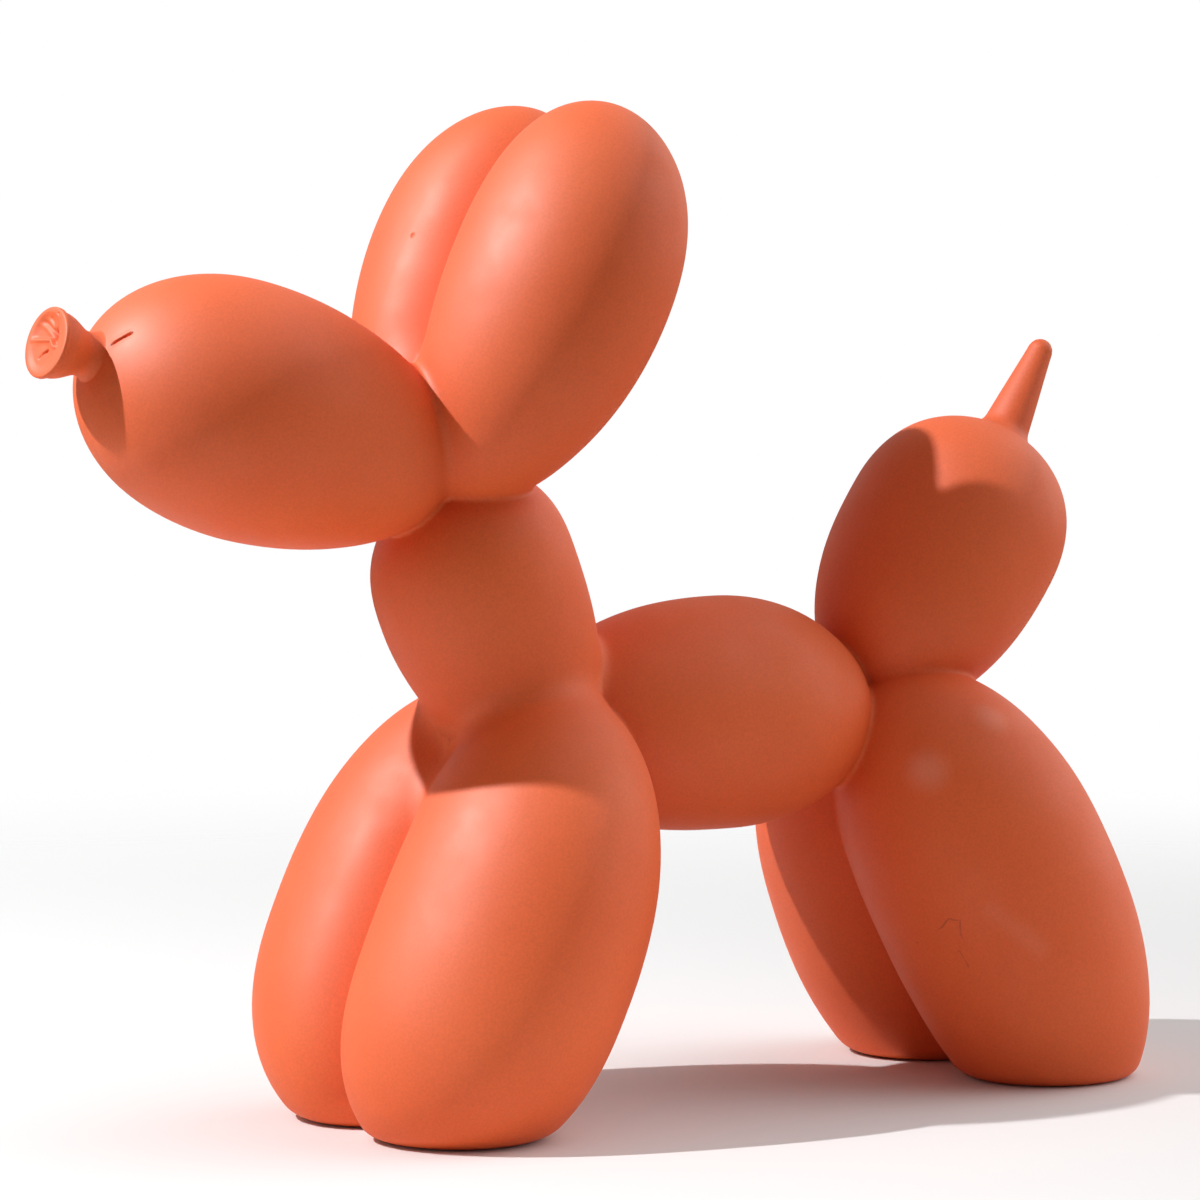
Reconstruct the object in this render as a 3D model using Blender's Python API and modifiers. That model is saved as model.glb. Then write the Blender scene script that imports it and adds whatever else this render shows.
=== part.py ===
"""Balloon dog: an ornament cast in one piece, standing on four flat feet.

The figure is the balloon twister's dog. One long balloon is pinched at three twists, and each
stretch between them is a bubble: snout, two ears, neck, body, two fore legs, two hind legs and a
tail. The inflating neck flares out in front of the snout, and the unfilled end stands on the tail.

The dog looks along -X, its left side is -Y, and it stands on Z = 0 with the origin under the
middle of its outline. Sizes are in millimetres and become metres in the meshes.

A bubble runs from its root to its tip. WIDEST_SHARE is the share of its length, from the root,
where it is thickest. A FULLNESS is the exponent of one half's profile: 2 is an ellipse, more is
blunter. A BOW or ARCH is how far the middle of the bubble swings out of the straight line. An
ANGLE is in degrees above the level.
"""

from math import cos, pi, radians, sin, sqrt

import bmesh
import bpy
from mathutils import Vector

MM = 0.001
MERGE_DISTANCE = 0.00001

# The three twists, in the plane of symmetry, and the stretches between them
SHOULDER_HEIGHT = 62.8
BODY_LENGTH = 64.0
BODY_ANGLE = 1.4
NECK_LENGTH = 47.5
NECK_ANGLE = 66.0

# Snout, from the face twist forwards and up
SNOUT_LENGTH = 67.9
SNOUT_ANGLE = 16.7
SNOUT_RADIUS = 20.6
SNOUT_WIDEST_SHARE = 0.57
SNOUT_ROOT_FULLNESS = 1.85
SNOUT_TIP_FULLNESS = 2.2

# Neck, from below the shoulder twist up to the face twist, bowed forwards
NECK_RADIUS = 17.25
NECK_SINK = 5.2
NECK_WIDEST_SHARE = 0.62
NECK_ROOT_FULLNESS = 2.1
NECK_TOP_FULLNESS = 2.5
NECK_BOW = 2.1

# Body, from ahead of the shoulder twist back to the hip twist, arched upwards
BODY_RADIUS = 19.85
BODY_SINK = 5.5
BODY_WIDEST_SHARE = 0.59
BODY_FRONT_FULLNESS = 2.2
BODY_REAR_FULLNESS = 2.0
BODY_ARCH = 1.6

# Tail, from just past the hip twist, back and up
TAIL_LENGTH = 55.2
TAIL_ANGLE = 55.0
TAIL_CLEAR = 2.0
TAIL_RADIUS = 19.4
TAIL_WIDEST_SHARE = 0.605
TAIL_ROOT_FULLNESS = 2.25
TAIL_TIP_FULLNESS = 2.45

# Unfilled end of the balloon, a blunt cone on the tail
END_LENGTH = 22.8
END_SINK = 6.2
END_ANGLE = 60.6
END_ROOT_RADIUS = 5.1
END_TIP_RADIUS = 2.3

# Ears, side by side, bowed away from each other
EAR_ROOT_SPREAD = 4.1
EAR_ROOT_DROP = 3.7
EAR_ROOT_FORWARD = 2.0
EAR_REACH_BACK = 26.0
EAR_TIP_SPREAD = 13.4
EAR_HEIGHT = 59.9
EAR_RADIUS = 18.5
EAR_WIDEST_SHARE = 0.535
EAR_ROOT_FULLNESS = 1.95
EAR_TIP_FULLNESS = 2.45
EAR_BOW = 4.0

# Fore legs, pressed together, whose round ends are cut off flat by the ground
FORE_ROOT_SPREAD = 10.7
FORE_ROOT_RISE = 8.0
FORE_REACH_FORWARD = 33.1
FORE_FOOT_SPREAD = 11.9
FORE_FOOT_CUT = 3.8
FORE_RADIUS = 22.0
FORE_WIDEST_SHARE = 0.555
FORE_ROOT_FULLNESS = 2.3
FORE_FOOT_FULLNESS = 2.9
FORE_BOW = 4.3

# Hind legs, close at the hip and splayed at the ground
HIND_ROOT_SPREAD = 6.2
HIND_ROOT_RISE = 6.4
HIND_ROOT_BACK = 1.5
HIND_REACH_BACK = 38.2
HIND_FOOT_SPREAD = 17.1
HIND_FOOT_CUT = 9.1
HIND_RADIUS = 21.6
HIND_WIDEST_SHARE = 0.443
HIND_ROOT_FULLNESS = 2.25
HIND_FOOT_FULLNESS = 2.45
HIND_BOW = 4.1

# Inflating neck, a flared nozzle in front of the snout, turned a little to the dog's left
NOZZLE_LENGTH = 7.9
NOZZLE_ANGLE = 15.3
NOZZLE_YAW_ANGLE = 5.0
NOZZLE_LIFT = 0.6
NOZZLE_MOUTH_RADIUS = 5.7
NOZZLE_THROAT_RADIUS = 3.6
NOZZLE_THROAT_AT = 1.3
NOZZLE_FLARE_POWER = 1.7
NOZZLE_ROOT_FILLET = 0.9
NOZZLE_ROOT_DEPTH = 4.0

# Mouth of the nozzle: a round lip about a dished floor
LIP_THICKNESS = 0.9
MOUTH_DEPTH = 2.6
MOUTH_FLOOR_RADIUS = 2.2
MOUTH_FLOOR_DISH = 0.5

# Fineness of the faceted solid
BUBBLE_SEGMENTS = 32
BUBBLE_RINGS = 16
TURNED_STEPS = 24
CURVE_STEPS = 6


def clear_scene():
    for obj in list(bpy.data.objects):
        bpy.data.objects.remove(obj, do_unlink=True)


def new_collection(name):
    collection = bpy.data.collections.new(name)
    bpy.context.scene.collection.children.link(collection)
    return collection


def matt_resin():
    material = bpy.data.materials.new("matt_coral_resin")
    material.use_nodes = True
    shader = material.node_tree.nodes["Principled BSDF"]
    shader.inputs["Base Color"].default_value = (0.78, 0.155, 0.055, 1.0)
    shader.inputs["Roughness"].default_value = 0.5
    shader.inputs["Metallic"].default_value = 0.0
    return material


def forwards_and_up(length, angle):
    """A step in the plane of symmetry towards the nose, angle degrees above the level."""
    return Vector((-length * cos(radians(angle)), 0.0, length * sin(radians(angle))))


def backwards_and_up(length, angle):
    step = forwards_and_up(length, angle)
    return Vector((-step.x, 0.0, step.z))


def mirrored(point, side):
    """The point on one side of the dog: side is -1 for its left and 1 for its right."""
    return Vector((point.x, point.y * side, point.z))


def shoulder_twist():
    return Vector((0.0, 0.0, SHOULDER_HEIGHT))


def hip_twist():
    return shoulder_twist() + backwards_and_up(BODY_LENGTH, BODY_ANGLE)


def face_twist():
    return shoulder_twist() + forwards_and_up(NECK_LENGTH, NECK_ANGLE)


def nose():
    return face_twist() + forwards_and_up(SNOUT_LENGTH, SNOUT_ANGLE)


def tail_root():
    return hip_twist() + backwards_and_up(TAIL_CLEAR, TAIL_ANGLE)


def tail_tip():
    return tail_root() + backwards_and_up(TAIL_LENGTH, TAIL_ANGLE)


def add_object(name, collection, shape, root, axis):
    """Link the bmesh as an object whose own Z axis stands at root and points along axis."""
    mesh = bpy.data.meshes.new(name)
    shape.to_mesh(mesh)
    shape.free()
    obj = bpy.data.objects.new(name, mesh)
    obj.location = root * MM
    obj.rotation_euler = axis.to_track_quat("Z", "Y").to_euler()
    collection.objects.link(obj)
    return obj


def bubble(name, collection, root, tip, radius, widest, fullness, bow=Vector((0.0, 0.0, 0.0))):
    """A stretch of balloon between two pinches, with a fullness for its root half and tip half."""
    axis = tip - root
    across = axis.to_track_quat("Z", "Y").inverted() @ bow
    shape = bmesh.new()
    bmesh.ops.create_uvsphere(
        shape, u_segments=BUBBLE_SEGMENTS, v_segments=BUBBLE_RINGS, radius=1.0)
    for vert in shape.verts:
        height = max(-1.0, min(1.0, vert.co.z))
        if height < 0.0:
            along = widest * (1.0 + height)
            swell = sqrt(1.0 - abs(height) ** fullness[0])
        else:
            along = widest + (1.0 - widest) * height
            swell = sqrt(1.0 - height ** fullness[1])
        outwards = Vector((vert.co.x, vert.co.y, 0.0)).normalized() * radius * swell
        arch = across * 4.0 * along * (1.0 - along)
        vert.co = (outwards + Vector((0.0, 0.0, along * axis.length)) + arch) * MM
    return add_object(name, collection, shape, root, axis)


def turned(name, collection, profile, root, axis):
    """A solid turned about its own Z axis from (radius, height) points, top to bottom."""
    shape = bmesh.new()
    verts = [shape.verts.new((radius * MM, 0.0, height * MM)) for radius, height in profile]
    for upper, lower in zip(verts, verts[1:]):
        shape.edges.new((upper, lower))
    obj = add_object(name, collection, shape, root, axis)
    screw = obj.modifiers.new("turn", "SCREW")
    screw.axis = "Z"
    screw.steps = TURNED_STEPS
    screw.render_steps = TURNED_STEPS
    screw.use_merge_vertices = True
    screw.merge_threshold = MERGE_DISTANCE
    return obj


def make_body(collection):
    forwards = (shoulder_twist() - hip_twist()).normalized()
    return bubble("balloon_dog", collection, shoulder_twist() + forwards * BODY_SINK, hip_twist(),
                  BODY_RADIUS, BODY_WIDEST_SHARE, (BODY_FRONT_FULLNESS, BODY_REAR_FULLNESS),
                  Vector((0.0, 0.0, BODY_ARCH)))


def make_neck(collection):
    downwards = (shoulder_twist() - face_twist()).normalized()
    bubble("neck", collection, shoulder_twist() + downwards * NECK_SINK, face_twist(),
           NECK_RADIUS, NECK_WIDEST_SHARE, (NECK_ROOT_FULLNESS, NECK_TOP_FULLNESS),
           Vector((-NECK_BOW, 0.0, 0.0)))


def make_snout(collection):
    bubble("snout", collection, face_twist(), nose(), SNOUT_RADIUS, SNOUT_WIDEST_SHARE,
           (SNOUT_ROOT_FULLNESS, SNOUT_TIP_FULLNESS))


def make_ear(collection, word, side):
    root = face_twist() + Vector((-EAR_ROOT_FORWARD, EAR_ROOT_SPREAD, -EAR_ROOT_DROP))
    tip = face_twist() + Vector((EAR_REACH_BACK, EAR_TIP_SPREAD, EAR_HEIGHT))
    bubble(word + "_ear", collection, mirrored(root, side), mirrored(tip, side), EAR_RADIUS,
           EAR_WIDEST_SHARE, (EAR_ROOT_FULLNESS, EAR_TIP_FULLNESS), Vector((0.0, EAR_BOW * side, 0.0)))


def make_fore_leg(collection, word, side):
    root = shoulder_twist() + Vector((0.0, FORE_ROOT_SPREAD, FORE_ROOT_RISE))
    foot = Vector((shoulder_twist().x - FORE_REACH_FORWARD, FORE_FOOT_SPREAD, -FORE_FOOT_CUT))
    bubble(word + "_fore_leg", collection, mirrored(root, side), mirrored(foot, side), FORE_RADIUS,
           FORE_WIDEST_SHARE, (FORE_ROOT_FULLNESS, FORE_FOOT_FULLNESS),
           Vector((0.0, FORE_BOW * side, 0.0)))


def make_hind_leg(collection, word, side):
    root = hip_twist() + Vector((HIND_ROOT_BACK, HIND_ROOT_SPREAD, HIND_ROOT_RISE))
    foot = Vector((hip_twist().x + HIND_REACH_BACK, HIND_FOOT_SPREAD, -HIND_FOOT_CUT))
    bubble(word + "_hind_leg", collection, mirrored(root, side), mirrored(foot, side), HIND_RADIUS,
           HIND_WIDEST_SHARE, (HIND_ROOT_FULLNESS, HIND_FOOT_FULLNESS),
           Vector((0.0, HIND_BOW * side, 0.0)))


def make_tail(collection):
    bubble("tail", collection, tail_root(), tail_tip(), TAIL_RADIUS, TAIL_WIDEST_SHARE,
           (TAIL_ROOT_FULLNESS, TAIL_TIP_FULLNESS))


def make_unfilled_end(collection):
    """A cone with a round top, whose wide foot is sunk in the tail."""
    profile = []
    for step in range(CURVE_STEPS + 1):
        turn = 0.5 * pi * step / CURVE_STEPS
        profile.append((END_TIP_RADIUS * sin(turn), END_LENGTH + END_TIP_RADIUS * cos(turn)))
    profile.append((END_ROOT_RADIUS, 0.0))
    profile.append((0.0, 0.0))
    turned("unfilled_end", collection, profile, tail_tip() - backwards_and_up(END_SINK, TAIL_ANGLE),
           backwards_and_up(1.0, END_ANGLE))


def lip_profile():
    """Half round, from the mouth's inner side over to its outer side."""
    profile = []
    for step in range(CURVE_STEPS + 1):
        turn = pi * step / CURVE_STEPS
        profile.append((NOZZLE_MOUTH_RADIUS - LIP_THICKNESS * (1.0 + cos(turn)) / 2.0,
                        NOZZLE_LENGTH - LIP_THICKNESS * (1.0 - sin(turn)) / 2.0))
    return profile


def flare_profile():
    """From the lip down to the throat, and out again in the fillet at the snout."""
    profile = []
    top = NOZZLE_LENGTH - LIP_THICKNESS
    for step in range(1, CURVE_STEPS + 1):
        share = step / CURVE_STEPS
        spread = (NOZZLE_MOUTH_RADIUS - NOZZLE_THROAT_RADIUS) * (1.0 - share ** NOZZLE_FLARE_POWER)
        profile.append((NOZZLE_THROAT_RADIUS + spread, top + (NOZZLE_THROAT_AT - top) * share))
    for step in range(1, CURVE_STEPS + 1):
        turn = 0.5 * pi * step / CURVE_STEPS
        profile.append((NOZZLE_THROAT_RADIUS + NOZZLE_ROOT_FILLET * (1.0 - cos(turn)),
                        NOZZLE_THROAT_AT - NOZZLE_ROOT_FILLET * sin(turn)))
    return profile


def make_nozzle(collection):
    floor = NOZZLE_LENGTH - MOUTH_DEPTH
    profile = [(0.0, floor), (MOUTH_FLOOR_RADIUS, floor + MOUTH_FLOOR_DISH)]
    profile += lip_profile() + flare_profile()
    profile += [(NOZZLE_THROAT_RADIUS, -NOZZLE_ROOT_DEPTH), (0.0, -NOZZLE_ROOT_DEPTH)]
    ahead = forwards_and_up(1.0, NOZZLE_ANGLE)
    yaw = radians(NOZZLE_YAW_ANGLE)
    axis = Vector((ahead.x * cos(yaw), ahead.x * sin(yaw), ahead.z))
    turned("nozzle", collection, profile, nose() + Vector((0.0, 0.0, NOZZLE_LIFT)), axis)


def boolean(obj, operation, collection):
    modifier = obj.modifiers.new(operation.lower(), "BOOLEAN")
    modifier.operation = operation
    modifier.operand_type = "COLLECTION"
    modifier.collection = collection
    modifier.solver = "EXACT"


def weld(obj):
    """Merge the hair-thin slivers that a union leaves where bubbles just cross."""
    modifier = obj.modifiers.new("weld", "WELD")
    modifier.merge_threshold = MERGE_DISTANCE


def make_ground(collection):
    """A block under Z = 0, wider than the dog, that takes off all that reaches below it."""
    depth = 2.0 * max(FORE_FOOT_CUT, HIND_FOOT_CUT)
    side = 4.0 * (SNOUT_LENGTH + BODY_LENGTH + TAIL_LENGTH)
    shape = bmesh.new()
    bmesh.ops.create_cube(shape, size=1.0)
    bmesh.ops.scale(shape, vec=Vector((side, side, depth)) * MM, verts=shape.verts)
    add_object("ground_block", collection, shape, Vector((0.0, 0.0, -0.5 * depth)),
               Vector((0.0, 0.0, 1.0)))


def stand_over_origin(dog, cutters):
    """Slide the finished figure along X until the origin is under the middle of its outline."""
    bpy.context.view_layer.update()
    finished = dog.evaluated_get(bpy.context.evaluated_depsgraph_get()).to_mesh()
    across = [(dog.matrix_world @ vert.co).x for vert in finished.vertices]
    slide = -0.5 * (min(across) + max(across))
    for obj in [dog] + cutters:
        obj.location.x += slide
    bpy.context.view_layer.update()


def build():
    clear_scene()
    figure = new_collection("balloon_dog_sculpture")
    bubbles = new_collection("bubbles")
    ground = new_collection("ground")

    dog = make_body(figure)
    make_neck(bubbles)
    make_snout(bubbles)
    make_nozzle(bubbles)
    make_tail(bubbles)
    make_unfilled_end(bubbles)
    for word, side in (("left", -1.0), ("right", 1.0)):
        make_ear(bubbles, word, side)
        make_fore_leg(bubbles, word, side)
        make_hind_leg(bubbles, word, side)
    make_ground(ground)

    boolean(dog, "UNION", bubbles)
    weld(dog)
    boolean(dog, "DIFFERENCE", ground)
    cutters = list(bubbles.objects) + list(ground.objects)
    for cutter in cutters:
        cutter.hide_render = True
        cutter.display_type = "WIRE"
    stand_over_origin(dog, cutters)
    dog.data.materials.append(matt_resin())
    dog.data.shade_smooth()


build()
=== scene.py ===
"""The looks of the balloon dog ornament: one piece, cast in matt coral resin.

Sizes are in millimetres, as in the part's source, and become metres when the piece is finished.
The dog looks along -X and its left side is -Y.
"""

from math import cos, pi, radians, sin

import bmesh
import bpy
import numpy as np
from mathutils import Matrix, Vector, noise


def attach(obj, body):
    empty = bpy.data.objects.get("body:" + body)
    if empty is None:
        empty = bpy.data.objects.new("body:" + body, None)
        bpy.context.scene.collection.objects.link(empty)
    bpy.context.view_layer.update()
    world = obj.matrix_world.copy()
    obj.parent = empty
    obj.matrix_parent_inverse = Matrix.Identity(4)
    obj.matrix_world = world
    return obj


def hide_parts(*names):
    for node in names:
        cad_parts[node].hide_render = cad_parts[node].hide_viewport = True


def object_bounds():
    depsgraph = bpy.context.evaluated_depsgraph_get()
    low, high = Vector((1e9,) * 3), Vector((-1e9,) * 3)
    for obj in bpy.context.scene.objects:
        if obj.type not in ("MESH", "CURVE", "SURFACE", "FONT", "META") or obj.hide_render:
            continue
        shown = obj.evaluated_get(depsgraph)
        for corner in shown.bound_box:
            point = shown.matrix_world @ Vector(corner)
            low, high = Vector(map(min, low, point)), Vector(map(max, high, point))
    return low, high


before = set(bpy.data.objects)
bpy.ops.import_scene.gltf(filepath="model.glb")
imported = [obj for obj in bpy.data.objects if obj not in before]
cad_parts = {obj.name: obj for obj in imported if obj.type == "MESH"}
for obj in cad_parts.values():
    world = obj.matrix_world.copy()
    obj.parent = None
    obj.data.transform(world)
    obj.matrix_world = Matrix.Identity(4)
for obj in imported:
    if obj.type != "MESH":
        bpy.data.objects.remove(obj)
cad_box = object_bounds()

MM = 0.001

# The three twists of the balloon, in the plane of symmetry, and what joins them
SHOULDER_HEIGHT = 62.8
BODY_LENGTH, BODY_ANGLE = 64.0, 1.4
NECK_LENGTH, NECK_ANGLE = 47.5, 66.0
SNOUT_LENGTH, SNOUT_ANGLE = 67.9, 16.7
TAIL_LENGTH, TAIL_ANGLE, TAIL_CLEAR = 55.2, 55.0, 2.0

# The unfilled end of the balloon, on the tail
END_LENGTH, END_SINK, END_ANGLE = 22.8, 6.2, 60.6
END_ROOT_RADIUS, END_TIP_RADIUS = 5.1, 2.3

# The inflating neck in front of the snout
NOZZLE_LENGTH, NOZZLE_LIFT = 7.9, 0.6
NOZZLE_ANGLE, NOZZLE_YAW_ANGLE = 15.3, 5.0
NOZZLE_MOUTH_RADIUS, NOZZLE_THROAT_RADIUS = 5.7, 3.6
NOZZLE_THROAT_AT, NOZZLE_FLARE_POWER = 1.3, 1.3
SKIRT_REACH, SKIRT_SINK, SKIRT_ROOT, SKIRT_STEPS = 1.5, 0.08, 1.5, 12
LIP_THICKNESS, LIP_OVERHANG, LIP_ROUNDING, LIP_UNDER_ROUNDING = 0.9, 0.35, 0.3, 0.2
MOUTH_RINGS, LIP_RINGS, LIP_UNDER_RINGS, FLARE_RINGS = 60, 6, 3, 24

# Fillets where two bubbles meet: how far apart their skins may be and still be drawn together
FILLET = 1.4
CREASE_FILLET = 0.5
FOOT_ROUNDING = 2.6
SETBACK = 0.05

# Wider fillets: between the hind legs up to a height, and between the fore legs at the chest
WEB_FILLET, WEB_HEIGHT = 7.0, 12.0
CHEST_FILLET, CHEST_FROM, CHEST_TO = 5.0, 44.0, 58.0

# The valleys between the two ears and between the two fore legs are deeper than the bubbles' own
VALLEY_DEPTH, VALLEY_REACH, VALLEY_CORNER = 2.4, 9.0, 0.8
VALLEY_ENDS_BEFORE_OTHERS, VALLEY_ENDS_ABOVE_FLOOR = 6.0, 5.0

# Fineness of the cast skin
SKIN_CELL = 0.62
SMOOTHING_ROUNDS = 3
SKIN_TRIANGLES = 150000
FINER_ROUND_MARKS = (4.5, 3.2, 2.4)
TURNED_STEPS = 96

# Marks that the casting shows, placed on the finished piece, which has slid along X
SLIDE_OF_MARKS = -8.81
SNOUT_CUT = (Vector((-91.5, -4.6, 127.9)), Vector((-89.1, -7.3, 129.9)))
SNOUT_CUT_WIDTH, SNOUT_CUT_DEPTH, SNOUT_CUT_TAPER = 0.36, 0.9, 1.6
BURR_HEIGHT, BURR_AWAY, BURR_WIDTH = 0.06, 1.6 * SNOUT_CUT_WIDTH, 0.6 * SNOUT_CUT_WIDTH
PINHOLE = Vector((-30.1, 7.0, 145.5))
PINHOLE_WIDTH, PINHOLE_DEPTH = 0.5, 0.4

# Soft swellings on the left hind leg: place, reach and height
SWELLINGS = ((Vector((52.5, -23.3, 55.8)), 3.6, 0.36),
             (Vector((65.4, -24.6, 64.0)), 3.2, 0.32))

# The whole skin is a little uneven
UNEVENNESS, UNEVEN_REACH = 0.07, 11.0


def forwards(length, angle):
    """A step in the plane of symmetry towards the nose, angle degrees above the level."""
    return np.array((-length * cos(radians(angle)), 0.0, length * sin(radians(angle))))


def backwards(length, angle):
    """A step in the plane of symmetry towards the tail, angle degrees above the level."""
    return forwards(length, angle) * (-1.0, 1.0, 1.0)


class Bubble:
    """A stretch of balloon between two pinches, swung out in the middle by bow."""

    def __init__(self, root, tip, radius, widest, fullness, bow=(0.0, 0.0, 0.0)):
        self.root = np.array(root)
        self.length = np.linalg.norm(tip - self.root)
        self.axis = (tip - self.root) / self.length
        self.radius = radius
        self.widest = widest
        self.fullness = fullness
        self.bow = np.array(bow)

    def blow_up(self, shape):
        """Add the bubble to the bmesh, from a ball whose every ring takes the bubble's radius."""
        turn = Vector(self.axis).to_track_quat("Z", "Y")
        made = bmesh.ops.create_uvsphere(shape, u_segments=48, v_segments=32, radius=1.0)
        for vert in made["verts"]:
            height = max(-1.0, min(1.0, vert.co.z))
            span = self.widest if height < 0.0 else 1.0 - self.widest
            along = self.widest + span * height
            swell = self.radius * (1.0 - abs(height) ** self.fullness[height > 0.0]) ** 0.5
            around = Vector((vert.co.x, vert.co.y, 0.0)).normalized() * swell
            around.z = along * self.length
            bow = Vector(self.bow) * 4.0 * along * (1.0 - along)
            vert.co = turn @ around + bow + Vector(self.root)

    def gap(self, points):
        """How far the points are outside the skin, less than 0 inside, true close to the skin."""
        reach = points - self.root
        bent = reach
        for _ in range(3):
            along = np.clip(bent @ self.axis / self.length, -0.2, 1.2)
            bent = reach - np.outer(4.0 * along * (1.0 - along), self.bow)
        along = bent @ self.axis / self.length
        across = np.linalg.norm(bent - np.outer(along * self.length, self.axis), axis=1)
        rear = along < self.widest
        span = np.where(rear, self.widest, 1.0 - self.widest)
        power = np.where(rear, self.fullness[0], self.fullness[1])
        height = np.maximum(np.abs(along - self.widest) / span, 1e-9)
        size = (across / self.radius) ** 2 + height ** power
        slope = np.hypot(2.0 * across / self.radius ** 2,
                         power * height ** (power - 1.0) / (span * self.length))
        return 2.0 * (size - np.sqrt(size)) / np.maximum(slope, 1e-9)


class BluntCone:
    """The unfilled end: a cone with a round top."""

    def __init__(self, root, axis, length, root_radius, tip_radius):
        self.root = np.array(root)
        self.axis = np.array(axis)
        self.length = length
        self.root_radius = root_radius
        self.tip_radius = tip_radius

    def blow_up(self, shape):
        turn = Vector(self.axis).to_track_quat("Z", "Y")
        made = bmesh.ops.create_uvsphere(shape, u_segments=48, v_segments=32, radius=1.0)
        for vert in made["verts"]:
            share = (vert.co.z + 1.0) / 2.0
            radius = self.root_radius + (self.tip_radius - self.root_radius) * share
            height = share * self.length + vert.co.z * self.tip_radius
            around = Vector((vert.co.x * radius, vert.co.y * radius, height))
            vert.co = turn @ around + Vector(self.root)

    def gap(self, points):
        reach = points - self.root
        along = reach @ self.axis
        share = np.clip(along / self.length, 0.0, 1.0)
        radius = self.root_radius + (self.tip_radius - self.root_radius) * share
        centre = np.outer(share * self.length, self.axis)
        return np.linalg.norm(reach - centre, axis=1) - radius


SHOULDER = np.array((0.0, 0.0, SHOULDER_HEIGHT))
HIP = SHOULDER + backwards(BODY_LENGTH, BODY_ANGLE)
FACE = SHOULDER + forwards(NECK_LENGTH, NECK_ANGLE)
NOSE = FACE + forwards(SNOUT_LENGTH, SNOUT_ANGLE)
TAIL_ROOT = HIP + backwards(TAIL_CLEAR, TAIL_ANGLE)
TAIL_TIP = TAIL_ROOT + backwards(TAIL_LENGTH, TAIL_ANGLE)


def all_bubbles():
    bubbles = {
        "snout": Bubble(FACE, NOSE, radius=20.6, widest=0.57, fullness=(1.85, 2.2)),
        "neck": Bubble(SHOULDER - forwards(5.2, NECK_ANGLE), FACE, radius=17.25, widest=0.62,
                       fullness=(2.1, 2.5), bow=(-2.1, 0.0, 0.0)),
        "body": Bubble(SHOULDER - backwards(5.5, BODY_ANGLE), HIP, radius=19.85, widest=0.59,
                       fullness=(2.2, 2.0), bow=(0.0, 0.0, 1.6)),
        "tail": Bubble(TAIL_ROOT, TAIL_TIP, radius=19.4, widest=0.605, fullness=(2.25, 2.45)),
        "tail_end": BluntCone(TAIL_TIP - backwards(END_SINK, TAIL_ANGLE),
                              backwards(1.0, END_ANGLE), END_LENGTH, END_ROOT_RADIUS,
                              END_TIP_RADIUS),
    }
    for word, side in (("left", -1.0), ("right", 1.0)):
        bubbles[word + "_ear"] = Bubble(
            FACE + (-2.0, 4.1 * side, -3.7), FACE + (26.0, 13.4 * side, 59.9),
            radius=18.5, widest=0.535, fullness=(1.95, 2.45), bow=(0.0, 4.0 * side, 0.0))
        bubbles[word + "_fore_leg"] = Bubble(
            SHOULDER + (0.0, 10.7 * side, 8.0), np.array((SHOULDER[0] - 33.1, 11.9 * side, -3.8)),
            radius=22.0, widest=0.555, fullness=(2.3, 2.9), bow=(0.0, 4.3 * side, 0.0))
        bubbles[word + "_hind_leg"] = Bubble(
            HIP + (1.5, 6.2 * side, 6.4), np.array((HIP[0] + 38.2, 17.1 * side, -9.1)),
            radius=21.6, widest=0.443, fullness=(2.25, 2.45), bow=(0.0, 4.1 * side, 0.0))
    return bubbles


BUBBLES = all_bubbles()
NAMES = list(BUBBLES)
SOFT_JOINTS = {("neck", "body"): 2.6, ("body", "tail"): 2.2, ("tail", "tail_end"): 2.4,
               ("neck", "left_fore_leg"): 5.0, ("neck", "right_fore_leg"): 5.0,
               ("snout", "left_ear"): 2.2, ("snout", "right_ear"): 2.2}
PRESSED_JOINTS = (("left_ear", "right_ear"), ("left_fore_leg", "right_fore_leg"),
                  ("left_hind_leg", "right_hind_leg"))


def fillet_table():
    """How far the fillet reaches between each two bubbles."""
    table = np.full((len(NAMES), len(NAMES)), FILLET)
    for (first, second), reach in SOFT_JOINTS.items():
        table[NAMES.index(first), NAMES.index(second)] = reach
        table[NAMES.index(second), NAMES.index(first)] = reach
    for first, second in PRESSED_JOINTS:
        table[NAMES.index(first), NAMES.index(second)] = CREASE_FILLET
        table[NAMES.index(second), NAMES.index(first)] = CREASE_FILLET
    return table


FILLETS = fillet_table()


def smooth_step(value, low, high):
    """0 up to low, 1 from high on, and an even run between."""
    share = np.clip((value - low) / (high - low), 0.0, 1.0)
    return share * share * (3.0 - 2.0 * share)


def bubble_gaps(points):
    return np.array([bubble.gap(points) for bubble in BUBBLES.values()]).T


def pair_of(limb):
    """Columns of the left and the right limb in the table of gaps."""
    return [NAMES.index("left_" + limb), NAMES.index("right_" + limb)]


def gaps_and_fillets(points):
    """Each bubble's gap at the points, which bubble is nearest, and its fillets with the others."""
    gaps = bubble_gaps(points)
    nearest = gaps.argmin(axis=1)
    fillets = FILLETS[nearest].copy()
    height = points[:, 2]
    webs = {"hind_leg": (WEB_FILLET, smooth_step(-height, -WEB_HEIGHT, 0.0)),
            "fore_leg": (CHEST_FILLET, smooth_step(height, CHEST_FROM, CHEST_TO))}
    for limb, (reach, share) in webs.items():
        left, right = pair_of(limb)
        web = CREASE_FILLET + (reach - CREASE_FILLET) * share
        fillets[nearest == left, right] = web[nearest == left]
        fillets[nearest == right, left] = web[nearest == right]
    return gaps, nearest, fillets


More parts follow.
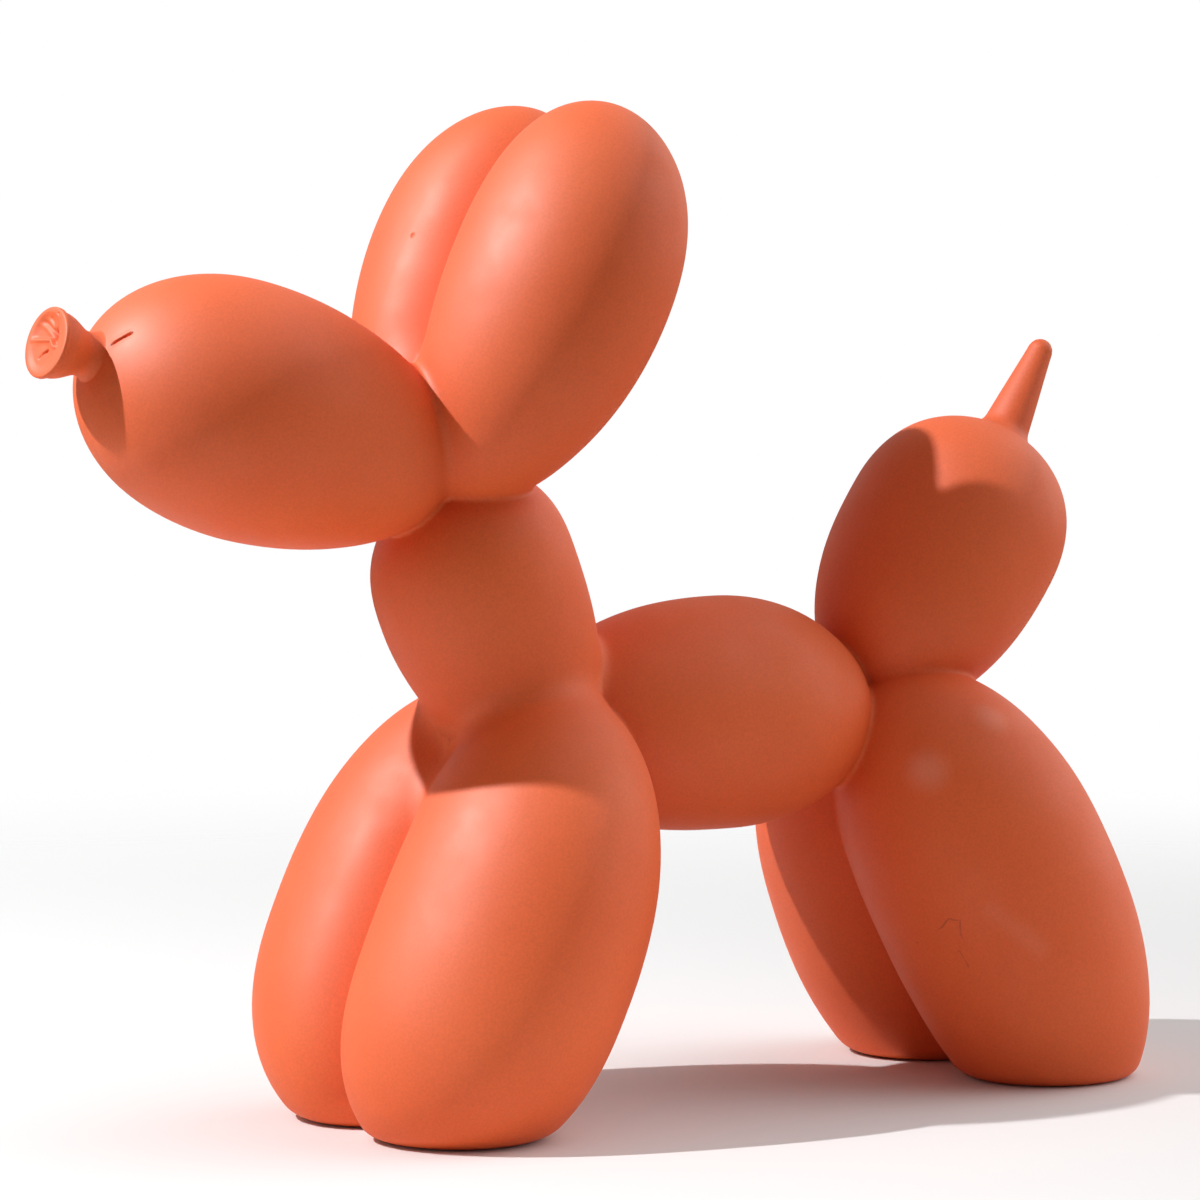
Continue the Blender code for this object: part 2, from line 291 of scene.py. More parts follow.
def skin_gap(points):
    """How far the points are outside the whole casting, fillets and rounded feet included."""
    gaps, nearest, fillets = gaps_and_fillets(points)
    least = gaps[np.arange(len(points)), nearest]
    drawn = np.clip(1.0 - (gaps - least[:, None]) / fillets, 0.0, 1.0)
    drawn[np.arange(len(points)), nearest] = 0.0
    joined = least - (drawn ** 2 * fillets).sum(axis=1) / 4.0 + SETBACK
    below = -points[:, 2]
    edge = np.clip(1.0 - np.abs(joined - below) / FOOT_ROUNDING, 0.0, 1.0)
    return np.maximum(joined, below) + edge ** 2 * FOOT_ROUNDING / 4.0


def uphill(height, points):
    """The direction in which the height rises most, from its values a hair along each axis."""
    step = 0.01
    here = height(points)
    slope = np.stack([height(points + step * axis) - here for axis in np.eye(3)], axis=1)
    return slope / np.maximum(np.linalg.norm(slope, axis=1), 1e-9)[:, None], here


def positions(shape):
    return np.array([vert.co for vert in shape.verts])


def move_to(shape, points):
    for vert, point in zip(shape.verts, points):
        vert.co = point


def lay_on_skin(shape):
    """Move every vertex straight to the skin."""
    points = positions(shape)
    for _ in range(2):
        outward, here = uphill(skin_gap, points)
        points -= outward * here[:, None]
    move_to(shape, points)


def even_out(shape, rounds):
    """Even the mesh out, and lay it on the skin again."""
    for _ in range(rounds):
        bmesh.ops.smooth_vert(shape, verts=shape.verts, factor=0.5, use_axis_x=True,
                              use_axis_y=True, use_axis_z=True)
        lay_on_skin(shape)


def subdivide_where(shape, wanted):
    """Halve the cells whose corners are all wanted."""
    shape.verts.ensure_lookup_table()
    edges = [edge for edge in shape.edges
             if wanted[edge.verts[0].index] and wanted[edge.verts[1].index]]
    bmesh.ops.subdivide_edges(shape, edges=edges, cuts=1, use_grid_fill=True)
    shape.verts.index_update()


def deepen_valleys(points):
    """Sink the skin between the ears and between the fore legs, and move nothing sideways."""
    gaps = bubble_gaps(points)
    height = points[:, 2]
    below_chest = 1.0 - smooth_step(height, CHEST_FROM, CHEST_TO)
    on_legs = below_chest * smooth_step(height, 0.0, VALLEY_ENDS_ABOVE_FLOOR)
    depth = np.zeros(len(points))
    for limb, share in (("ear", 1.0), ("fore_leg", on_legs)):
        pair = pair_of(limb)
        apart = np.hypot(gaps[:, pair[0]] - gaps[:, pair[1]], VALLEY_CORNER) - VALLEY_CORNER
        run = np.clip(1.0 - apart / VALLEY_REACH, 0.0, 1.0) ** 2
        clear = np.delete(gaps, pair, axis=1).min(axis=1) - gaps[:, pair].min(axis=1)
        ends = smooth_step(clear, 0.0, VALLEY_ENDS_BEFORE_OTHERS)
        depth += VALLEY_DEPTH * share * run * ends
    outward = uphill(skin_gap, points)[0] * (1.0, 0.0, 1.0)
    outward /= np.maximum(np.linalg.norm(outward, axis=1), 1e-9)[:, None]
    points -= outward * depth[:, None]


def mark_place(point):
    """A mark's place before the figure slides over the origin."""
    return np.array(point) - (SLIDE_OF_MARKS, 0.0, 0.0)


def distance_to_line(points, start, end):
    """How far the points are from the stretch, and their share along it."""
    line = end - start
    share = np.clip((points - start) @ line / (line @ line), 0.0, 1.0)
    return np.linalg.norm(points - start - np.outer(share, line), axis=1), share


def near_marks(points, reach):
    """Which points are within reach of the cut or the pinhole."""
    start, end = (mark_place(point) for point in SNOUT_CUT)
    cut = distance_to_line(points, start, end)[0] < reach
    return cut | (np.linalg.norm(points - mark_place(PINHOLE), axis=1) < reach)


def mark_depth(points):
    """How deep the marks cut below the skin at each point."""
    start, end = (mark_place(point) for point in SNOUT_CUT)
    away, share = distance_to_line(points, start, end)
    taper = np.clip(4.0 * share * (1.0 - share) * SNOUT_CUT_TAPER, 0.0, 1.0)
    cut = np.clip(1.0 - away / SNOUT_CUT_WIDTH, 0.0, 1.0) ** 1.5 * SNOUT_CUT_DEPTH * taper
    burr = np.exp(-((away - BURR_AWAY) / BURR_WIDTH) ** 2) * BURR_HEIGHT * taper
    hole_away = np.linalg.norm(points - mark_place(PINHOLE), axis=1)
    hole = np.clip(1.0 - hole_away / PINHOLE_WIDTH, 0.0, 1.0) ** 1.2 * PINHOLE_DEPTH
    swellings = 0.0
    for place, reach, height in SWELLINGS:
        swell_away = np.linalg.norm(points - mark_place(place), axis=1)
        swellings += height * np.exp(-(swell_away / reach) ** 2)
    uneven = np.array([noise.noise(Vector(point) / UNEVEN_REACH) for point in points])
    return cut - burr + hole - swellings + UNEVENNESS * uneven * np.clip(points[:, 2], 0.0, 1.0)


def marked_gap(points):
    """How far the points are outside the casting with its marks."""
    return skin_gap(points) + mark_depth(points)


def cast_skin():
    """All bubbles as one skin: remeshed, laid on the true surface, thinned and marked."""
    shape = bmesh.new()
    for bubble in BUBBLES.values():
        bubble.blow_up(shape)
    everything = shape.verts[:] + shape.edges[:] + shape.faces[:]
    cut = bmesh.ops.bisect_plane(shape, geom=everything, plane_co=(0.0, 0.0, 0.0),
                                 plane_no=(0.0, 0.0, -1.0), clear_outer=True)
    rims = [item for item in cut["geom_cut"] if isinstance(item, bmesh.types.BMEdge)]
    bmesh.ops.holes_fill(shape, edges=rims)
    obj = new_object("bubbles", shape)
    remesh = obj.modifiers.new("one_skin", "REMESH")
    remesh.mode = "VOXEL"
    remesh.voxel_size = SKIN_CELL
    shape = evaluated(obj)
    even_out(shape, SMOOTHING_ROUNDS)
    kept_share = SKIN_TRIANGLES / (2.0 * len(shape.faces))
    obj = new_object("bubbles", shape)
    thin = obj.modifiers.new("fewer_faces", "DECIMATE")
    thin.ratio = kept_share
    shape = evaluated(obj)
    for reach in FINER_ROUND_MARKS:
        subdivide_where(shape, near_marks(positions(shape), reach))
    lay_on_skin(shape)
    points = positions(shape)
    outward = uphill(skin_gap, points)[0]
    points -= outward * mark_depth(points)[:, None]
    deepen_valleys(points)
    points[:, 2] = np.maximum(points[:, 2], 0.0)
    move_to(shape, points)
    return shape


def new_object(name, shape):
    """The bmesh as an object in the scene."""
    mesh = bpy.data.meshes.new(name)
    shape.to_mesh(mesh)
    shape.free()
    obj = bpy.data.objects.new(name, mesh)
    bpy.context.scene.collection.objects.link(obj)
    return obj


def evaluated(obj):
    """The object with its modifiers as a bmesh; the object itself goes."""
    bpy.context.view_layer.update()
    shape = bmesh.new()
    shape.from_object(obj, bpy.context.evaluated_depsgraph_get())
    bpy.data.objects.remove(obj, do_unlink=True)
    return shape


# Mouth of the nozzle, seen along its axis: u runs to the dog's left and v runs up
MOUTH_RADIUS = NOZZLE_MOUTH_RADIUS - LIP_ROUNDING
FACE_SINK = 0.16

# The folded pocket in the upper half, and the folds that run to its deepest place
POCKET_MIDDLE, POCKET_REACH = (-0.6, 0.4), (4.1, 4.6)
POCKET_DEPTH, POCKET_DEEPER, POCKET_DEEPER_SPREAD = 0.6, 0.75, 1.3
FOLDS_MEET = (2.0, 1.0)
FOLD_LINES = (((-2.6, 3.5), (-0.6, 2.7), FOLDS_MEET), ((-0.1, 3.8), (0.9, 2.3), FOLDS_MEET),
              ((2.2, 3.5), (2.1, 2.4), FOLDS_MEET))
FOLD_DEPTH, FOLD_DEEPENS, FOLD_WIDTH = 0.10, 0.30, 0.3
FOLD_SIDE_HEIGHT, FOLD_SIDE_AWAY, FOLD_SIDE_WIDTH = 0.12, 0.7, 0.35

# The pressed pad in the lower half, with the bead along its upper edge, its slit and a pinhole
PAD_EDGE, PAD_EDGE_DROP = 0.65, 1.1
PAD_MIDDLE, PAD_REACH, PAD_DEPTH = (-0.9, -2.0), (3.5, 2.9), 0.22
BEAD_HEIGHT, BEAD_BELOW_EDGE, BEAD_WIDTH = 0.24, 0.34, 0.24
MOUTH_SLIT = ((-1.5, -2.6), (-0.6, -1.8), (0.5, -1.3))
SLIT_DEPTH, SLIT_DEEPENS, SLIT_WIDTH, SLIT_WIDENS = 0.25, 0.3, 0.13, 0.08
MOUTH_PINHOLE = (1.8, 4.55)
MOUTH_PINHOLE_DEPTH, MOUTH_PINHOLE_WIDTH = 0.4, 0.17


def distance_to_bends(u, v, bends):
    """How far (u, v) are from the bent line, and their share along its last near stretch."""
    points = np.stack([u, v, np.zeros_like(u)], axis=1)
    away, share = np.full(len(u), np.inf), np.zeros(len(u))
    for step, (start, end) in enumerate(zip(bends, bends[1:])):
        near, along = distance_to_line(points, np.array((*start, 0.0)), np.array((*end, 0.0)))
        share = np.where(near < away, (step + along) / (len(bends) - 1), share)
        away = np.minimum(away, near)
    return away, share


def rise(away, width):
    """A rounded rise: 1 in its middle, and nearly 0 from two widths away on."""
    return np.exp(-(away / width) ** 2)


def inside_oval(u, v, middle, reach):
    """1 in the oval's middle, 0 on its edge and less outside it."""
    return 1.0 - np.hypot((u - middle[0]) / reach[0], (v - middle[1]) / reach[1])


def pocket_height(u, v):
    """The pocket's floor, with its folds, measured from the lip."""
    from_deepest = (u - FOLDS_MEET[0]) ** 2 + (v - FOLDS_MEET[1]) ** 2
    height = -POCKET_DEPTH - POCKET_DEEPER * np.exp(-from_deepest / POCKET_DEEPER_SPREAD)
    for line in FOLD_LINES:
        away, share = distance_to_bends(u, v, line)
        height -= (FOLD_DEPTH + FOLD_DEEPENS * share) * rise(away, FOLD_WIDTH)
        height += FOLD_SIDE_HEIGHT * rise(away - FOLD_SIDE_AWAY, FOLD_SIDE_WIDTH)
    return height


def mouth_height(u, v):
    """The mouth's face, measured from the lip: a folded pocket above a flat pressed pad."""
    in_oval = inside_oval(u, v, POCKET_MIDDLE, POCKET_REACH)
    lower_edge = PAD_EDGE - PAD_EDGE_DROP * smooth_step(u, 0.9, 2.6)
    above_pad = smooth_step(v, lower_edge - 0.12, lower_edge + 0.3)
    in_pocket = smooth_step(in_oval, 0.0, 0.35) * above_pad
    face = -FACE_SINK * smooth_step(MOUTH_RADIUS - np.hypot(u, v), 0.3, 1.6)
    face -= PAD_DEPTH * smooth_step(inside_oval(u, v, PAD_MIDDLE, PAD_REACH), 0.0, 0.5)
    bead = smooth_step(-v, -lower_edge.max() - 0.4, 0.0) * smooth_step(in_oval, -0.02, 0.1)
    face += BEAD_HEIGHT * rise(v - lower_edge + BEAD_BELOW_EDGE, BEAD_WIDTH) * bead
    away, share = distance_to_bends(u, v, MOUTH_SLIT)
    face -= (SLIT_DEPTH + SLIT_DEEPENS * share) * rise(away, SLIT_WIDTH + SLIT_WIDENS * share)
    hole = rise(np.hypot(u - MOUTH_PINHOLE[0], v - MOUTH_PINHOLE[1]), MOUTH_PINHOLE_WIDTH)
    return face + (pocket_height(u, v) - face) * in_pocket - MOUTH_PINHOLE_DEPTH * hole


def nozzle_frame():
    """The nozzle's root, its axis, and the mouth's sideways and upward directions."""
    ahead = forwards(1.0, NOZZLE_ANGLE)
    yaw = radians(NOZZLE_YAW_ANGLE)
    axis = np.array((ahead[0] * cos(yaw), ahead[0] * sin(yaw), ahead[2]))
    left = np.cross((0.0, 0.0, 1.0), axis)
    left /= np.linalg.norm(left)
    return NOSE + (0.0, 0.0, NOZZLE_LIFT), axis, left, np.cross(axis, left)


def nozzle_profile():
    """(radius, height) points from the mouth's middle over the lip to the throat."""
    profile = [(MOUTH_RADIUS * step / MOUTH_RINGS, NOZZLE_LENGTH)
               for step in range(MOUTH_RINGS + 1)]
    for step in range(1, LIP_RINGS + 1):
        turn = 0.5 * pi * step / LIP_RINGS
        profile.append((MOUTH_RADIUS + LIP_ROUNDING * sin(turn),
                        NOZZLE_LENGTH - LIP_ROUNDING * (1.0 - cos(turn))))
    under = NOZZLE_LENGTH - LIP_THICKNESS
    profile.append((NOZZLE_MOUTH_RADIUS, under + LIP_UNDER_ROUNDING))
    for step in range(1, LIP_UNDER_RINGS + 1):
        turn = 0.5 * pi * step / LIP_UNDER_RINGS
        profile.append((NOZZLE_MOUTH_RADIUS - LIP_UNDER_ROUNDING * (1.0 - cos(turn)),
                        under + LIP_UNDER_ROUNDING * (1.0 - sin(turn))))
    start = NOZZLE_MOUTH_RADIUS - LIP_OVERHANG
    for step in range(FLARE_RINGS + 1):
        share = step / FLARE_RINGS
        waist = smooth_step(share ** NOZZLE_FLARE_POWER, 0.0, 1.0)
        spread = (start - NOZZLE_THROAT_RADIUS) * (1.0 - waist)
        height = under + (NOZZLE_THROAT_AT - under) * share
        profile.append((NOZZLE_THROAT_RADIUS + spread, height))
    return profile


def nozzle():
    """The nozzle, turned about its axis, with its mouth folded and its skirt let into the snout."""
    root, axis, left, upward = nozzle_frame()

    def placed(across, up, along):
        return root + np.outer(across, left) + np.outer(up, upward) + np.outer(along, axis)

    shape = bmesh.new()
    profile = nozzle_profile()
    profile += [(NOZZLE_THROAT_RADIUS, NOZZLE_THROAT_AT - step)
                for step in range(1, SKIRT_STEPS + 1)]
    verts = [shape.verts.new((radius, 0.0, height)) for radius, height in profile]
    edges = [shape.edges.new(pair) for pair in zip(verts, verts[1:])]
    bmesh.ops.spin(shape, geom=verts + edges, cent=(0.0, 0.0, 0.0), axis=(0.0, 0.0, 1.0),
                   angle=2.0 * pi, steps=TURNED_STEPS, use_merge=True)
    bmesh.ops.remove_doubles(shape, verts=shape.verts, dist=0.0001)
    points = positions(shape)
    radius = np.hypot(points[:, 0], points[:, 1])
    mouth = (radius < MOUTH_RADIUS + 0.001) & (points[:, 2] > NOZZLE_LENGTH - 0.001)
    points[mouth, 2] += mouth_height(points[mouth, 0], points[mouth, 1])
    skirt = points[:, 2] < NOZZLE_THROAT_AT - 0.5
    share = (NOZZLE_THROAT_AT - points[skirt, 2]) / SKIRT_STEPS
    around = points[skirt, :2] / radius[skirt, None]
    edge = around * (NOZZLE_THROAT_RADIUS + SKIRT_REACH)
    foot = np.zeros(len(edge))
    for _ in range(12):
        foot -= skin_gap(placed(edge[:, 0], edge[:, 1], foot)) + SKIRT_SINK
    turn = 0.5 * pi * share
    skirt_radius = NOZZLE_THROAT_RADIUS + SKIRT_REACH * (1.0 - np.cos(turn))
    points[skirt, :2] = around * skirt_radius[:, None]
    points[skirt, 2] = NOZZLE_THROAT_AT + (foot - NOZZLE_THROAT_AT) * np.sin(turn)
    move_to(shape, placed(points[:, 0], points[:, 1], points[:, 2]))
    rim = [edge for edge in shape.edges if edge.is_boundary]
    sunk = bmesh.ops.extrude_edge_only(shape, edges=rim)["geom"]
    down = [item for item in sunk if isinstance(item, bmesh.types.BMVert)]
    bmesh.ops.translate(shape, verts=down, vec=Vector(-axis) * SKIRT_ROOT)
    bmesh.ops.holes_fill(shape, edges=[edge for edge in shape.edges if edge.is_boundary])
    bmesh.ops.recalc_face_normals(shape, faces=shape.faces)
    return shape


# How near the true skin a corner lies that takes the skin's normal
ON_SKIN = 0.03


def shade_as_skin(mesh, points):
    """Give the mesh the true skin's normals wherever it lies on it, so that no facet shows."""
    normals = np.array([vert.normal for vert in mesh.vertices])
    outward, away = uphill(marked_gap, points)
    on_skin = np.abs(away) < ON_SKIN
    normals[on_skin] = outward[on_skin]
    mesh.normals_split_custom_set_from_vertices([tuple(normal) for normal in normals])


def dog():
    """The whole ornament as one closed mesh, with the nozzle joined to the snout."""
    body = new_object("balloon_dog_casting", cast_skin())
    spout = new_object("nozzle", nozzle())
    union = body.modifiers.new("nozzle", "BOOLEAN")
    union.operation = "UNION"
    union.solver = "EXACT"
    union.object = spout
    shape = evaluated(body)
    bpy.data.objects.remove(spout, do_unlink=True)
    points = positions(shape)
    middle = (cad_box[0].x + cad_box[1].x) / 2.0 / MM
    slide = middle - (points[:, 0].min() + points[:, 0].max()) / 2.0
    bmesh.ops.translate(shape, verts=shape.verts, vec=(slide, 0.0, 0.0))
    bmesh.ops.scale(shape, verts=shape.verts, vec=(MM, MM, MM))
    for face in shape.faces:
        face.smooth = True
    casting = new_object("balloon_dog_casting", shape)
    shade_as_skin(casting.data, points)
    return casting


# Colours of the resin
RESIN_DEEP = (0.77, 0.110, 0.018, 1.0)
RESIN_PALE = (0.80, 0.125, 0.023, 1.0)
# Dark colour for the hairlines and for the painted shade inside the snout's cut
RESIN_SHADE = (0.16, 0.012, 0.004, 1.0)
# Pale pink of the painted highlights on the left hind leg
RESIN_PAINTED_HIGHLIGHT = (0.90, 0.36, 0.24, 1.0)

# Sizes of its clouds of colour, of its grain and of its sheen's patches, and heights of its relief
CLOUD_SIZE, GRAIN_SIZE, SHEEN_SIZE, DENT_SIZE = 30.0, 0.4, 7.0, 5.0
GRAIN_RELIEF, DENT_RELIEF, RELIEF_STRENGTH = 0.04, 0.15, 0.3

# Hairline cracks on the left hind leg, in the part's frame
HAIRLINES = (
    ((54.1, -19.1, 25.8), (54.9, -24.8, 28.9), (55.3, -26.4, 30.6), (56.5, -27.9, 30.5),
     (57.0, -27.5, 28.0), (57.8, -27.7, 26.5)),
    ((57.0, -25.1, 24.2), (57.5, -26.7, 25.2), (58.3, -27.0, 23.6), (58.9, -27.1, 22.4)),
)
HAIRLINE_WIDTH, HAIRLINE_WANDER, HAIRLINE_WANDER_SIZE = 0.2, 0.5, 1.4
HAIRLINE_DARKNESS, HAIRLINE_DEPTH = 0.5, 0.8

# Painted highlights on the same leg: two pale spots on its swellings and a soft pale streak, in the
# part's frame: from, to, width and how pale
PAINTED_HIGHLIGHT_PLACES = (((52.5, -23.3, 55.8), (53.2, -23.6, 55.4), 5.0, 0.34),
                 ((65.2, -24.5, 64.1), (65.8, -24.8, 63.7), 4.4, 0.28),
                 ((60.5, -31.5, 32.4), (67.7, -35.6, 25.7), 3.0, 0.09))


def matt_coral_resin():
    """Resin coloured right through: clouds, a fine grain and a few hairlines, with painted shade
    inside the snout's cut and painted highlights on the left hind leg.
    """
    material = bpy.data.materials.new("matt_coral_resin")
    material.use_nodes = True
    nodes, links = material.node_tree.nodes, material.node_tree.links
    shader = nodes["Principled BSDF"]
    place = nodes.new("ShaderNodeTexCoord")

    def fill(socket, value):
        if isinstance(value, bpy.types.NodeSocket):
            links.new(value, socket)
        else:
            socket.default_value = value

    def vector(operation, first, second=None, scale=None):
        node = nodes.new("ShaderNodeVectorMath")
        node.operation = operation
        fill(node.inputs[0], first)
        if second is not None:
            fill(node.inputs[1], second)
        if scale is not None:
            fill(node.inputs["Scale"], scale)
        return node.outputs["Value" if operation in ("DOT_PRODUCT", "LENGTH") else "Vector"]

    def number(operation, first, second=0.0, clamp=False):
        node = nodes.new("ShaderNodeMath")
        node.operation = operation
        node.use_clamp = clamp
        fill(node.inputs[0], first)
        fill(node.inputs[1], second)
        return node.outputs["Value"]

    def noise_of(size, detail, output="Fac"):
        node = nodes.new("ShaderNodeTexNoise")
        node.inputs["Scale"].default_value = 1.0 / (size * MM)
        node.inputs["Detail"].default_value = detail
        links.new(place.outputs["Object"], node.inputs["Vector"])
        return node.outputs[output]

    def spread(value, low, high, to_low, to_high, run="LINEAR"):
        node = nodes.new("ShaderNodeMapRange")
        node.interpolation_type = run
        fill(node.inputs["Value"], value)
        node.inputs["From Min"].default_value = low
        node.inputs["From Max"].default_value = high
        node.inputs["To Min"].default_value = to_low
        node.inputs["To Max"].default_value = to_high
        return node.outputs["Result"]

    def blend(mode, factor, first, second):
        node = nodes.new("ShaderNodeMix")
        node.data_type = "RGBA"
        node.blend_type = mode
        fill(node.inputs[0], factor)
        fill(node.inputs[6], first)
        fill(node.inputs[7], second)
        return node.outputs[2]

    def line_away(points, where):
        """Distance from the bent line through the points, in metres."""
        least = None
        for first, second in zip(points, points[1:]):
            start = Vector(first) * MM
            line = Vector(second) * MM - start
            reach = vector("SUBTRACT", where, tuple(start))
            share = number("DIVIDE", vector("DOT_PRODUCT", reach, tuple(line)), line.length_squared,
                           clamp=True)
            foot = vector("SCALE", tuple(line), scale=share)
            away = vector("LENGTH", vector("SUBTRACT", reach, foot))
            least = away if least is None else number("MINIMUM", least, away)
        return least

    clouds = spread(noise_of(CLOUD_SIZE, 3.0), 0.35, 0.65, 0.0, 1.0)
    colour = blend("MIX", clouds, RESIN_DEEP, RESIN_PALE)
    grain = spread(noise_of(GRAIN_SIZE, 2.0), 0.3, 0.7, 0.92, 1.04)
    colour = blend("MULTIPLY", 1.0, colour, grain)
    wander = noise_of(HAIRLINE_WANDER_SIZE, 2.0, output="Color")
    wander = vector("SUBTRACT", wander, (0.5, 0.5, 0.5))
    wander = vector("SCALE", wander, scale=HAIRLINE_WANDER * MM)
    bent = vector("ADD", place.outputs["Object"], wander)
    away = line_away(HAIRLINES[0], bent)
    for hairline in HAIRLINES[1:]:
        away = number("MINIMUM", away, line_away(hairline, bent))
    crack = spread(away, 0.0, HAIRLINE_WIDTH * MM, 1.0, 0.0)
    colour = blend("MIX", number("MULTIPLY", crack, HAIRLINE_DARKNESS), colour,
                   RESIN_SHADE)
    # Painted highlights: pale pink spots and a streak on the left hind leg stand in for gloss
    for start, end, width, paleness in PAINTED_HIGHLIGHT_PLACES:
        painted_highlight = spread(line_away((start, end), place.outputs["Object"]), 0.0, width * MM,
                        paleness, 0.0, "SMOOTHSTEP")
        colour = blend("MIX", painted_highlight, colour, RESIN_PAINTED_HIGHLIGHT)
    # Painted shade: the inside of the snout's cut is darkened towards the dark colour, standing in
    # for the shadow in the slit
    cut_away = line_away(SNOUT_CUT, place.outputs["Object"])
    painted_shade_in_cut = spread(cut_away, 0.1 * MM, 0.3 * MM, 0.85, 0.0)
    colour = blend("MIX", painted_shade_in_cut, colour, RESIN_SHADE)
    links.new(colour, shader.inputs["Base Color"])

    sheen = spread(noise_of(SHEEN_SIZE, 4.0), 0.3, 0.7, 0.60, 0.68)
    links.new(sheen, shader.inputs["Roughness"])

    fine = nodes.new("ShaderNodeBump")
    fine.inputs["Strength"].default_value = RELIEF_STRENGTH
    fine.inputs["Distance"].default_value = GRAIN_RELIEF * MM
    cracks = number("MULTIPLY", crack, HAIRLINE_DEPTH)
    grainy = number("SUBTRACT", noise_of(GRAIN_SIZE, 2.0), cracks)
    links.new(grainy, fine.inputs["Height"])
    broad = nodes.new("ShaderNodeBump")
    broad.inputs["Strength"].default_value = RELIEF_STRENGTH
    broad.inputs["Distance"].default_value = DENT_RELIEF * MM
    links.new(noise_of(DENT_SIZE, 1.0), broad.inputs["Height"])
    links.new(broad.outputs["Normal"], fine.inputs["Normal"])
    links.new(fine.outputs["Normal"], shader.inputs["Normal"])
    return material


# Camera, in the part's frame, as the photograph was taken
CAMERA_AZIMUTH, CAMERA_ELEVATION, CAMERA_DISTANCE = -33.59, 3.566, 773.9
CAMERA_TARGET = Vector((2.05, 0.0, 85.07))
CAMERA_LENS, CAMERA_SENSOR = 139.3, 36.0

# Key lamp: its place, its bulb's radius, its power and the power that only makes gloss
KEY_PLACE = Vector((-585.0, 105.0, 612.0))
KEY_RADIUS, KEY_POWER, GLINT_POWER = 7.2, 25.0, 52.0

# Soft lights round the studio: azimuth, elevation and strength, and how gathered they are
SOFT_LIGHTS = ((90.0, 12.0, 2.3), (60.0, 48.0, 1.6), (270.0, 12.0, 0.75), (180.0, 12.0, 0.8))
SOFT_GATHERING = 6.0

# Floor, in metres, and its whiteness
FLOOR_RADIUS, FLOOR_FADES_FROM, FLOOR_FADES_TO = 0.6, 0.16, 0.55
FLOOR_WHITE = (0.8, 0.8, 0.8, 1.0)


def direction(azimuth, elevation):
    """Azimuth 0 looks from the dog's left side, and 90 from behind its tail."""
    azimuth, elevation = radians(azimuth), radians(elevation)
    return Vector((sin(azimuth) * cos(elevation), -cos(azimuth) * cos(elevation), sin(elevation)))


def camera():
    """The camera, with no depth of field."""
    data = bpy.data.cameras.new("camera")
    data.lens = CAMERA_LENS
    data.sensor_width = CAMERA_SENSOR
    data.clip_start = 0.01
    obj = bpy.data.objects.new("camera", data)
    back = direction(CAMERA_AZIMUTH, CAMERA_ELEVATION)
    obj.location = (CAMERA_TARGET + back * CAMERA_DISTANCE) * MM
    obj.rotation_euler = (-back).to_track_quat("-Z", "Y").to_euler()
    bpy.context.scene.collection.objects.link(obj)
    bpy.context.scene.camera = obj


def floor():
    """A pale floor whose edge fades out, so that no horizon shows."""
    shape = bmesh.new()
    bmesh.ops.create_circle(shape, cap_ends=True, segments=96, radius=FLOOR_RADIUS)
    disc = new_object("floor", shape)
    paper = bpy.data.materials.new("white_paper")
    paper.use_nodes = True
    nodes, links = paper.node_tree.nodes, paper.node_tree.links
    shader = nodes["Principled BSDF"]
    shader.inputs["Base Color"].default_value = FLOOR_WHITE
    shader.inputs["Roughness"].default_value = 1.0
    shader.inputs["Specular IOR Level"].default_value = 0.0
    place = nodes.new("ShaderNodeTexCoord")
    away = nodes.new("ShaderNodeVectorMath")
    away.operation = "LENGTH"
    links.new(place.outputs["Object"], away.inputs[0])
    fade = nodes.new("ShaderNodeMapRange")
    fade.interpolation_type = "SMOOTHSTEP"
    fade.inputs["From Min"].default_value = FLOOR_FADES_FROM
    fade.inputs["From Max"].default_value = FLOOR_FADES_TO
    links.new(away.outputs["Value"], fade.inputs["Value"])
    clear = nodes.new("ShaderNodeBsdfTransparent")
    mix = nodes.new("ShaderNodeMixShader")
    links.new(fade.outputs["Result"], mix.inputs["Fac"])
    links.new(shader.outputs["BSDF"], mix.inputs[1])
    links.new(clear.outputs["BSDF"], mix.inputs[2])
    links.new(mix.outputs["Shader"], nodes["Material Output"].inputs["Surface"])
    disc.data.materials.append(paper)


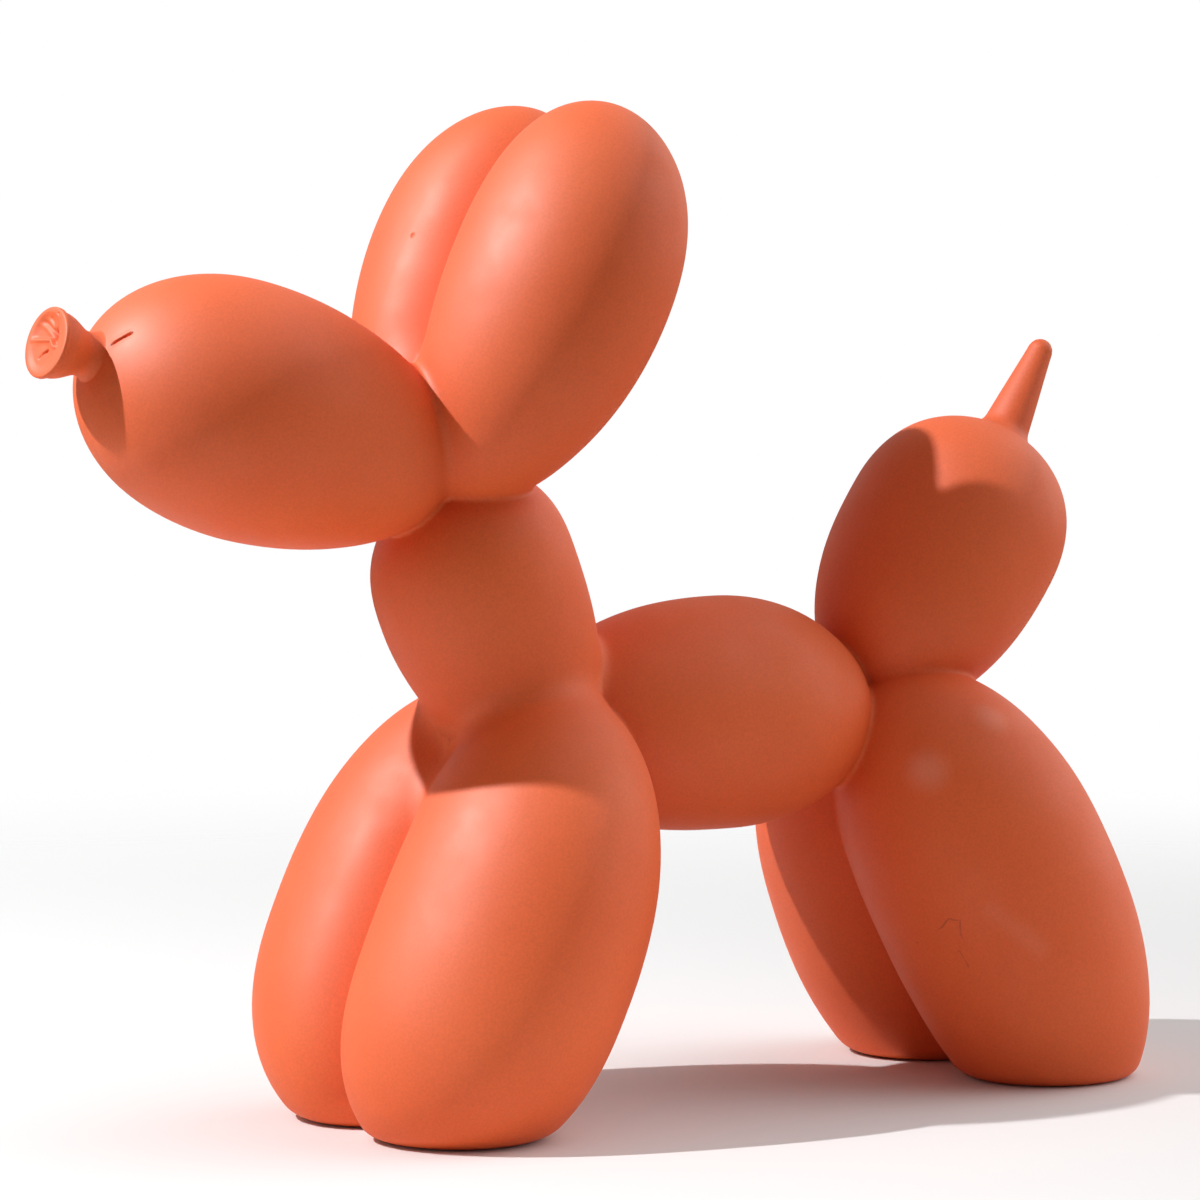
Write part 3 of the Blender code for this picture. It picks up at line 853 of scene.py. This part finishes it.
def lamp(name, power, only_gloss=False):
    """A small lamp at the key light's place; one that is only for gloss adds no other light."""
    bulb = bpy.data.lights.new(name, "POINT")
    bulb.energy = power
    bulb.shadow_soft_size = KEY_RADIUS * MM
    obj = bpy.data.objects.new(name, bulb)
    obj.location = KEY_PLACE * MM
    obj.visible_camera = False
    obj.visible_diffuse = not only_gloss
    bpy.context.scene.collection.objects.link(obj)


def soft_lights():
    """A white studio, lit softly from the sides and the back."""
    world = bpy.data.worlds.new("studio")
    world.use_nodes = True
    nodes, links = world.node_tree.nodes, world.node_tree.links

    def number(operation, first, second):
        node = nodes.new("ShaderNodeMath")
        node.operation = operation
        for socket, value in zip(node.inputs, (first, second)):
            if isinstance(value, float):
                socket.default_value = value
            else:
                links.new(value, socket)
        return node.outputs["Value"]

    sky = nodes.new("ShaderNodeTexCoord").outputs["Generated"]
    total = number("ADD", 0.0, 0.0)
    for azimuth, elevation, strength in SOFT_LIGHTS:
        facing = nodes.new("ShaderNodeVectorMath")
        facing.operation = "DOT_PRODUCT"
        links.new(sky, facing.inputs[0])
        facing.inputs[1].default_value = direction(azimuth, elevation)
        fall = number("MULTIPLY", number("SUBTRACT", facing.outputs["Value"], 1.0), SOFT_GATHERING)
        total = number("ADD", total, number("MULTIPLY", number("EXPONENT", fall, 0.0), strength))
    height = nodes.new("ShaderNodeSeparateXYZ")
    links.new(sky, height.inputs[0])
    total = number("MULTIPLY", total, number("GREATER_THAN", height.outputs["Z"], 0.0))
    seen = nodes.new("ShaderNodeLightPath").outputs["Is Camera Ray"]
    background = nodes["Background"]
    background.inputs["Color"].default_value = (1.0, 1.0, 1.0, 1.0)
    links.new(number("MAXIMUM", total, seen), background.inputs["Strength"])
    bpy.context.scene.world = world
    bpy.context.scene.view_settings.view_transform = "Standard"


casting = dog()
casting.data.materials.append(matt_coral_resin())
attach(casting, "root")
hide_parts("balloon_dog")
camera()
floor()
lamp("key_lamp", KEY_POWER)
lamp("glint_lamp", GLINT_POWER, only_gloss=True)
soft_lights()
